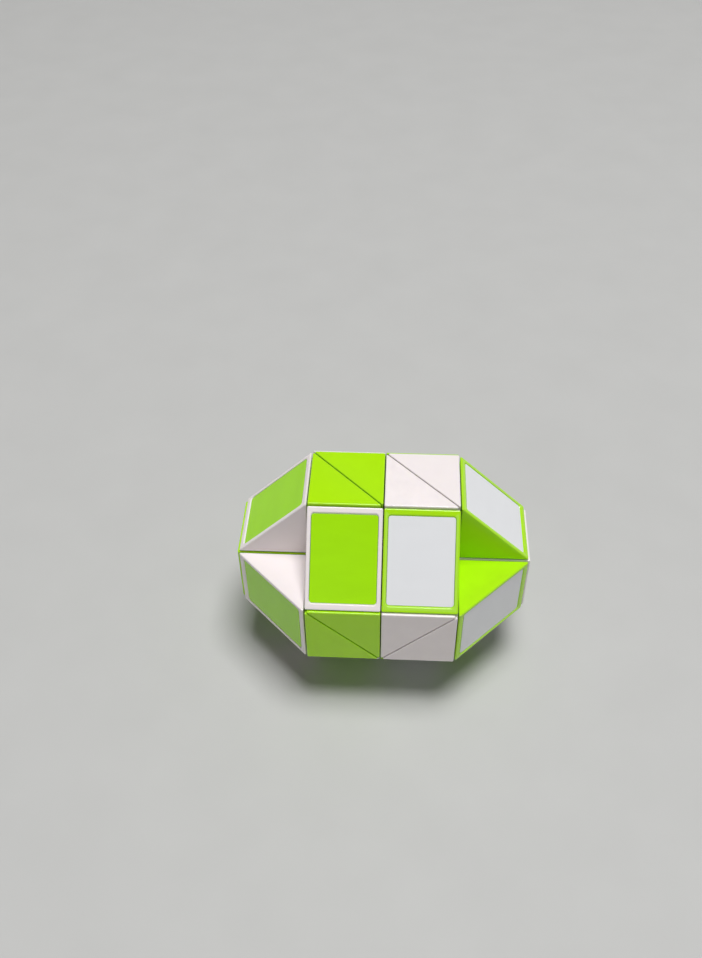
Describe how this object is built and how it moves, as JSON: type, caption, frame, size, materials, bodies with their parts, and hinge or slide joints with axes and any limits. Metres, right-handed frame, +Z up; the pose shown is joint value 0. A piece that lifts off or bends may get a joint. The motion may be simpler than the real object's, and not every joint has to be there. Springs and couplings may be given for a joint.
{
  "type": "folding snake puzzle",
  "caption": "Folding snake puzzle: hollow triangular plastic prisms in two colours, pinned face to face in one chain and folded into an elongated ball.",
  "frame": {"origin": "middle of the flat that the folded ball stands on, at the floor", "axes": "+X along the ball's long axis, +Y away from the viewer, +Z up"},
  "size_m": [0.0896, 0.0672, 0.0672],
  "materials": {
    "green_shell": "glossy moulded",
    "white_shell": "glossy moulded",
    "white_cover": "glossy moulded",
    "green_cover": "glossy moulded"
  },
  "bodies": {
    "section_01": {"shell_01": "green_shell"},
    "section_02": {"shell_02": "white_shell", "cover_02": "green_cover"},
    "section_03": {"shell_03": "green_shell"},
    "section_04": {"shell_04": "white_shell"},
    "section_05": {"shell_05": "green_shell", "cover_05": "white_cover"},
    "section_06": {"shell_06": "white_shell"},
    "section_07": {"shell_07": "green_shell", "cover_07": "white_cover"},
    "section_08": {"shell_08": "white_shell"},
    "section_09": {"shell_09": "green_shell", "cover_09": "white_cover"},
    "section_10": {"shell_10": "white_shell"},
    "section_11": {"shell_11": "green_shell", "cover_11": "white_cover"},
    "section_12": {"shell_12": "white_shell"},
    "section_13": {"shell_13": "green_shell", "cover_13": "white_cover"},
    "section_14": {"shell_14": "white_shell"},
    "section_15": {"shell_15": "green_shell", "cover_15": "white_cover"},
    "section_16": {"shell_16": "white_shell"},
    "section_17": {"shell_17": "green_shell", "cover_17": "white_cover"},
    "section_18": {"shell_18": "white_shell"},
    "section_19": {"shell_19": "green_shell"},
    "section_20": {"shell_20": "white_shell", "cover_20": "green_cover"},
    "section_21": {"shell_21": "green_shell"},
    "section_22": {"shell_22": "white_shell", "cover_22": "green_cover"},
    "section_23": {"shell_23": "green_shell"},
    "section_24": {"shell_24": "white_shell", "cover_24": "green_cover"},
    "section_25": {"shell_25": "green_shell"},
    "section_26": {"shell_26": "white_shell", "cover_26": "green_cover"},
    "section_27": {"shell_27": "green_shell"},
    "section_28": {"shell_28": "white_shell", "cover_28": "green_cover"},
    "section_29": {"shell_29": "green_shell"},
    "section_30": {"shell_30": "white_shell", "cover_30": "green_cover"},
    "section_31": {"shell_31": "green_shell"},
    "section_32": {"shell_32": "white_shell", "cover_32": "green_cover"},
    "section_33": {"shell_33": "green_shell"},
    "section_34": {"shell_34": "white_shell"},
    "section_35": {"shell_35": "green_shell", "cover_35": "white_cover"},
    "section_36": {"shell_36": "white_shell"}
  },
  "joints": [
    {"name": "pivot_01", "type": "hinge", "parent": "section_02", "child": "section_01", "pos_m": [-0.01125, 0.01125, 0.0561], "axis": [0, -1, 0], "continuous": true},
    {"name": "pivot_02", "type": "hinge", "parent": "section_03", "child": "section_02", "pos_m": [-0.01125, 0.0225, 0.04485], "axis": [0, 0, 1], "continuous": true},
    {"name": "pivot_03", "type": "hinge", "parent": "section_04", "child": "section_03", "pos_m": [0, 0.0225, 0.0336], "axis": [-1, 0, 0], "continuous": true},
    {"name": "pivot_04", "type": "hinge", "parent": "section_05", "child": "section_04", "pos_m": [0.01125, 0.0225, 0.04485], "axis": [0, 0, -1], "continuous": true},
    {"name": "pivot_05", "type": "hinge", "parent": "section_06", "child": "section_05", "pos_m": [0.01125, 0.01125, 0.0561], "axis": [0, 1, 0], "continuous": true},
    {"name": "pivot_06", "type": "hinge", "parent": "section_07", "child": "section_06", "pos_m": [0.0225, 0, 0.0561], "axis": [-1, 0, 0], "continuous": true},
    {"name": "pivot_07", "type": "hinge", "parent": "section_08", "child": "section_07", "pos_m": [0.03375, 0, 0.04485], "axis": [0, 0, -1], "range_deg": [0, 90]},
    {"name": "pivot_08", "type": "hinge", "parent": "section_09", "child": "section_08", "pos_m": [0.03375, -0.01125, 0.0336], "axis": [0, 1, 0], "continuous": true},
    {"name": "pivot_09", "type": "hinge", "parent": "section_09", "child": "section_10", "pos_m": [0.0225, -0.0225, 0.0336], "axis": [-1, 0, 0], "continuous": true},
    {"name": "pivot_10", "type": "hinge", "parent": "section_10", "child": "section_11", "pos_m": [0.01125, -0.0225, 0.02235], "axis": [0, 0, -1], "continuous": true},
    {"name": "pivot_11", "type": "hinge", "parent": "section_11", "child": "section_12", "pos_m": [0.01125, -0.01125, 0.0111], "axis": [0, 1, 0], "continuous": true},
    {"name": "pivot_12", "type": "hinge", "parent": "section_12", "child": "section_13", "pos_m": [0.0225, 0, 0.0111], "axis": [1, 0, 0], "continuous": true},
    {"name": "pivot_13", "type": "hinge", "parent": "section_13", "child": "section_14", "pos_m": [0.03375, 0, 0.02235], "axis": [0, 0, 1], "continuous": true},
    {"name": "pivot_14", "type": "hinge", "parent": "section_14", "child": "section_15", "pos_m": [0.03375, 0.01125, 0.0336], "axis": [0, 1, 0], "continuous": true},
    {"name": "pivot_15", "type": "hinge", "parent": "section_15", "child": "section_16", "pos_m": [0.0225, 0.0225, 0.0336], "axis": [-1, 0, 0], "continuous": true},
    {"name": "pivot_16", "type": "hinge", "parent": "section_16", "child": "section_17", "pos_m": [0.01125, 0.0225, 0.02235], "axis": [0, 0, -1], "continuous": true},
    {"name": "pivot_17", "type": "hinge", "parent": "section_17", "child": "section_18", "pos_m": [0.01125, 0.01125, 0.0111], "axis": [0, -1, 0], "continuous": true},
    {"name": "pivot_18", "type": "hinge", "parent": "section_18", "child": "section_19", "pos_m": [0, 0, 0.0111], "axis": [1, 0, 0], "range_deg": [0, 180]},
    {"name": "pivot_19", "type": "hinge", "parent": "section_19", "child": "section_20", "pos_m": [-0.01125, 0.01125, 0.0111], "axis": [0, 1, 0], "continuous": true},
    {"name": "pivot_20", "type": "hinge", "parent": "section_20", "child": "section_21", "pos_m": [-0.01125, 0.0225, 0.02235], "axis": [0, 0, 1], "continuous": true},
    {"name": "pivot_21", "type": "hinge", "parent": "section_21", "child": "section_22", "pos_m": [-0.0225, 0.0225, 0.0336], "axis": [-1, 0, 0], "continuous": true},
    {"name": "pivot_22", "type": "hinge", "parent": "section_22", "child": "section_23", "pos_m": [-0.03375, 0.01125, 0.0336], "axis": [0, -1, 0], "continuous": true},
    {"name": "pivot_23", "type": "hinge", "parent": "section_23", "child": "section_24", "pos_m": [-0.03375, 0, 0.02235], "axis": [0, 0, -1], "continuous": true},
    {"name": "pivot_24", "type": "hinge", "parent": "section_24", "child": "section_25", "pos_m": [-0.0225, 0, 0.0111], "axis": [1, 0, 0], "continuous": true},
    {"name": "pivot_25", "type": "hinge", "parent": "section_25", "child": "section_26", "pos_m": [-0.01125, -0.01125, 0.0111], "axis": [0, -1, 0], "continuous": true},
    {"name": "pivot_26", "type": "hinge", "parent": "section_26", "child": "section_27", "pos_m": [-0.01125, -0.0225, 0.02235], "axis": [0, 0, 1], "continuous": true},
    {"name": "pivot_27", "type": "hinge", "parent": "section_27", "child": "section_28", "pos_m": [-0.0225, -0.0225, 0.0336], "axis": [-1, 0, 0], "continuous": true},
    {"name": "pivot_28", "type": "hinge", "parent": "section_28", "child": "section_29", "pos_m": [-0.03375, -0.01125, 0.0336], "axis": [0, 1, 0], "continuous": true},
    {"name": "pivot_29", "type": "hinge", "parent": "section_29", "child": "section_30", "pos_m": [-0.03375, 0, 0.04485], "axis": [0, 0, 1], "continuous": true},
    {"name": "pivot_30", "type": "hinge", "parent": "section_30", "child": "section_31", "pos_m": [-0.0225, 0, 0.0561], "axis": [1, 0, 0], "continuous": true},
    {"name": "pivot_31", "type": "hinge", "parent": "section_31", "child": "section_32", "pos_m": [-0.01125, -0.01125, 0.0561], "axis": [0, -1, 0], "continuous": true},
    {"name": "pivot_32", "type": "hinge", "parent": "section_32", "child": "section_33", "pos_m": [-0.01125, -0.0225, 0.04485], "axis": [0, 0, -1], "continuous": true},
    {"name": "pivot_33", "type": "hinge", "parent": "section_33", "child": "section_34", "pos_m": [0, -0.0225, 0.0336], "axis": [1, 0, 0], "continuous": true},
    {"name": "pivot_34", "type": "hinge", "parent": "section_34", "child": "section_35", "pos_m": [0.01125, -0.0225, 0.04485], "axis": [0, 0, 1], "continuous": true},
    {"name": "pivot_35", "type": "hinge", "parent": "section_35", "child": "section_36", "pos_m": [0.01125, -0.01125, 0.0561], "axis": [0, 1, 0], "continuous": true}
  ],
  "couplings": [
    {"joint": "pivot_01", "follows": "pivot_07", "ratio": -0.33077},
    {"joint": "pivot_02", "follows": "pivot_07", "ratio": -0.090244},
    {"joint": "pivot_03", "follows": "pivot_18", "ratio": 1},
    {"joint": "pivot_04", "follows": "pivot_07", "ratio": -0.088378},
    {"joint": "pivot_05", "follows": "pivot_07", "ratio": -0.003889},
    {"joint": "pivot_06", "follows": "pivot_18", "ratio": -0.5},
    {"joint": "pivot_08", "follows": "pivot_07", "ratio": 0.10178},
    {"joint": "pivot_09", "follows": "pivot_18", "ratio": 0.5},
    {"joint": "pivot_10", "follows": "pivot_07", "ratio": -0.024922},
    {"joint": "pivot_11", "follows": "pivot_07", "ratio": 0.2184},
    {"joint": "pivot_12", "follows": "pivot_18", "ratio": -0.5},
    {"joint": "pivot_13", "follows": "pivot_07", "ratio": -0.76882},
    {"joint": "pivot_14", "follows": "pivot_07", "ratio": -0.020978},
    {"joint": "pivot_15", "follows": "pivot_18", "ratio": -0.5},
    {"joint": "pivot_16", "follows": "pivot_07", "ratio": -0.059922},
    {"joint": "pivot_17", "follows": "pivot_07", "ratio": -0.062311},
    {"joint": "pivot_19", "follows": "pivot_07", "ratio": -0.071867},
    {"joint": "pivot_20", "follows": "pivot_07", "ratio": -0.36909},
    {"joint": "pivot_21", "follows": "pivot_18", "ratio": 1},
    {"joint": "pivot_22", "follows": "pivot_07", "ratio": 0.045178},
    {"joint": "pivot_23", "follows": "pivot_07", "ratio": 0.063667},
    {"joint": "pivot_24", "follows": "pivot_18", "ratio": 0.5},
    {"joint": "pivot_25", "follows": "pivot_07", "ratio": -0.64284},
    {"joint": "pivot_26", "follows": "pivot_07", "ratio": 0.0648},
    {"joint": "pivot_27", "follows": "pivot_18", "ratio": -0.5},
    {"joint": "pivot_28", "follows": "pivot_07", "ratio": -1.0019},
    {"joint": "pivot_29", "follows": "pivot_07", "ratio": 0.10188},
    {"joint": "pivot_30", "follows": "pivot_18", "ratio": -1},
    {"joint": "pivot_31", "follows": "pivot_07", "ratio": 0.077056},
    {"joint": "pivot_32", "follows": "pivot_07", "ratio": -0.018378},
    {"joint": "pivot_33", "follows": "pivot_18", "ratio": 1},
    {"joint": "pivot_34", "follows": "pivot_07", "ratio": -0.035},
    {"joint": "pivot_35", "follows": "pivot_07", "ratio": 0.017344}
  ]
}
